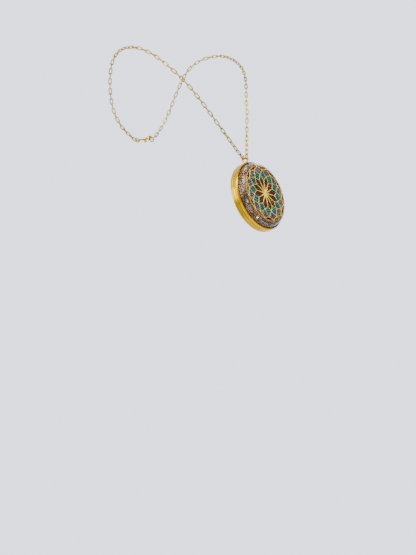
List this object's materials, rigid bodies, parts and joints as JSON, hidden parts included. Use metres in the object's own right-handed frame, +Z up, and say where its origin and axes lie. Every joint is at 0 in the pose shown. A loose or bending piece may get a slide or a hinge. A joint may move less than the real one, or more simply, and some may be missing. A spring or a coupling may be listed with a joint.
{
  "type": "locket",
  "caption": "Round hinged locket with a domed inlay under clear resin, on an elongated cable chain with a hooked clasp.",
  "frame": {"origin": "middle of the neck that the chain hangs round, level with the sides of the neck", "axes": "+Z up along the hanging locket, the locket's face looks along -Y, +X to the wearer's left"},
  "size_m": [0.0922, 0.0852, 0.135],
  "materials": {
    "gold": "satin gold plate, turned",
    "chain_gold": "polished gold plate",
    "spring_steel": "drawn wire",
    "clear_resin": "clear, polished",
    "dark_resin": "deep brown, glossy",
    "garnet_inlay": "polished",
    "turquoise": "polished",
    "amethyst": "polished",
    "quartz": "broken faces",
    "copper": "bright copper",
    "photo_card": "blank card",
    "lens": "clear sheet"
  },
  "bodies": {
    "chain": {"chain_left_front": "chain_gold", "chain_left_back": "chain_gold", "chain_right_front": "chain_gold", "chain_right_back": "chain_gold", "apex_link": "chain_gold", "clasp_jump_ring": "chain_gold", "tail_ring": "chain_gold", "clasp_body": "chain_gold", "clasp_rivet": "chain_gold", "clasp_spring": "spring_steel"},
    "locket": {"back_shell": "gold", "hinge_knuckles_back": "gold", "hinge_pin": "gold", "catch_spring": "gold", "photo_card_back": "photo_card", "photo_lens_back": "lens", "photo_ring_back": "gold", "bail_ring": "gold"},
    "front_cover": {"front_bezel": "gold", "hinge_knuckle_front": "gold", "catch_nib": "gold", "photo_card_front": "photo_card", "photo_lens_front": "lens", "photo_ring_front": "gold", "resin_core": "dark_resin", "resin_dome": "clear_resin", "mandala_filigree": "gold", "petal_inlays": "garnet_inlay", "turquoise_inlays": "turquoise", "amethyst_inlays": "amethyst", "copper_inlays": "copper", "quartz_chips": "quartz", "amethyst_chips": "amethyst", "copper_curls": "copper", "gold_flakes": "gold"},
    "clasp_gate": {"clasp_lever": "chain_gold"}
  },
  "joints": [
    {"name": "locket_swing", "type": "hinge", "parent": "chain", "child": "locket", "pos_m": [0, -0.0243, -0.0805], "axis": [1, 0, 0], "range_deg": [-45, 45]},
    {"name": "cover_hinge", "type": "hinge", "parent": "locket", "child": "front_cover", "pos_m": [0.02375, -0.02545, -0.106], "axis": [0, 0, 1], "range_deg": [0, 150]},
    {"name": "clasp_lever", "type": "hinge", "parent": "chain", "child": "clasp_gate", "pos_m": [0.00459, 0.05174, -0.03864], "axis": [0.0464, -0.2446, -0.9685], "range_deg": [0, 12], "stiffness_Nm_per_rad": 0.006, "springref_deg": -11.46}
  ]
}
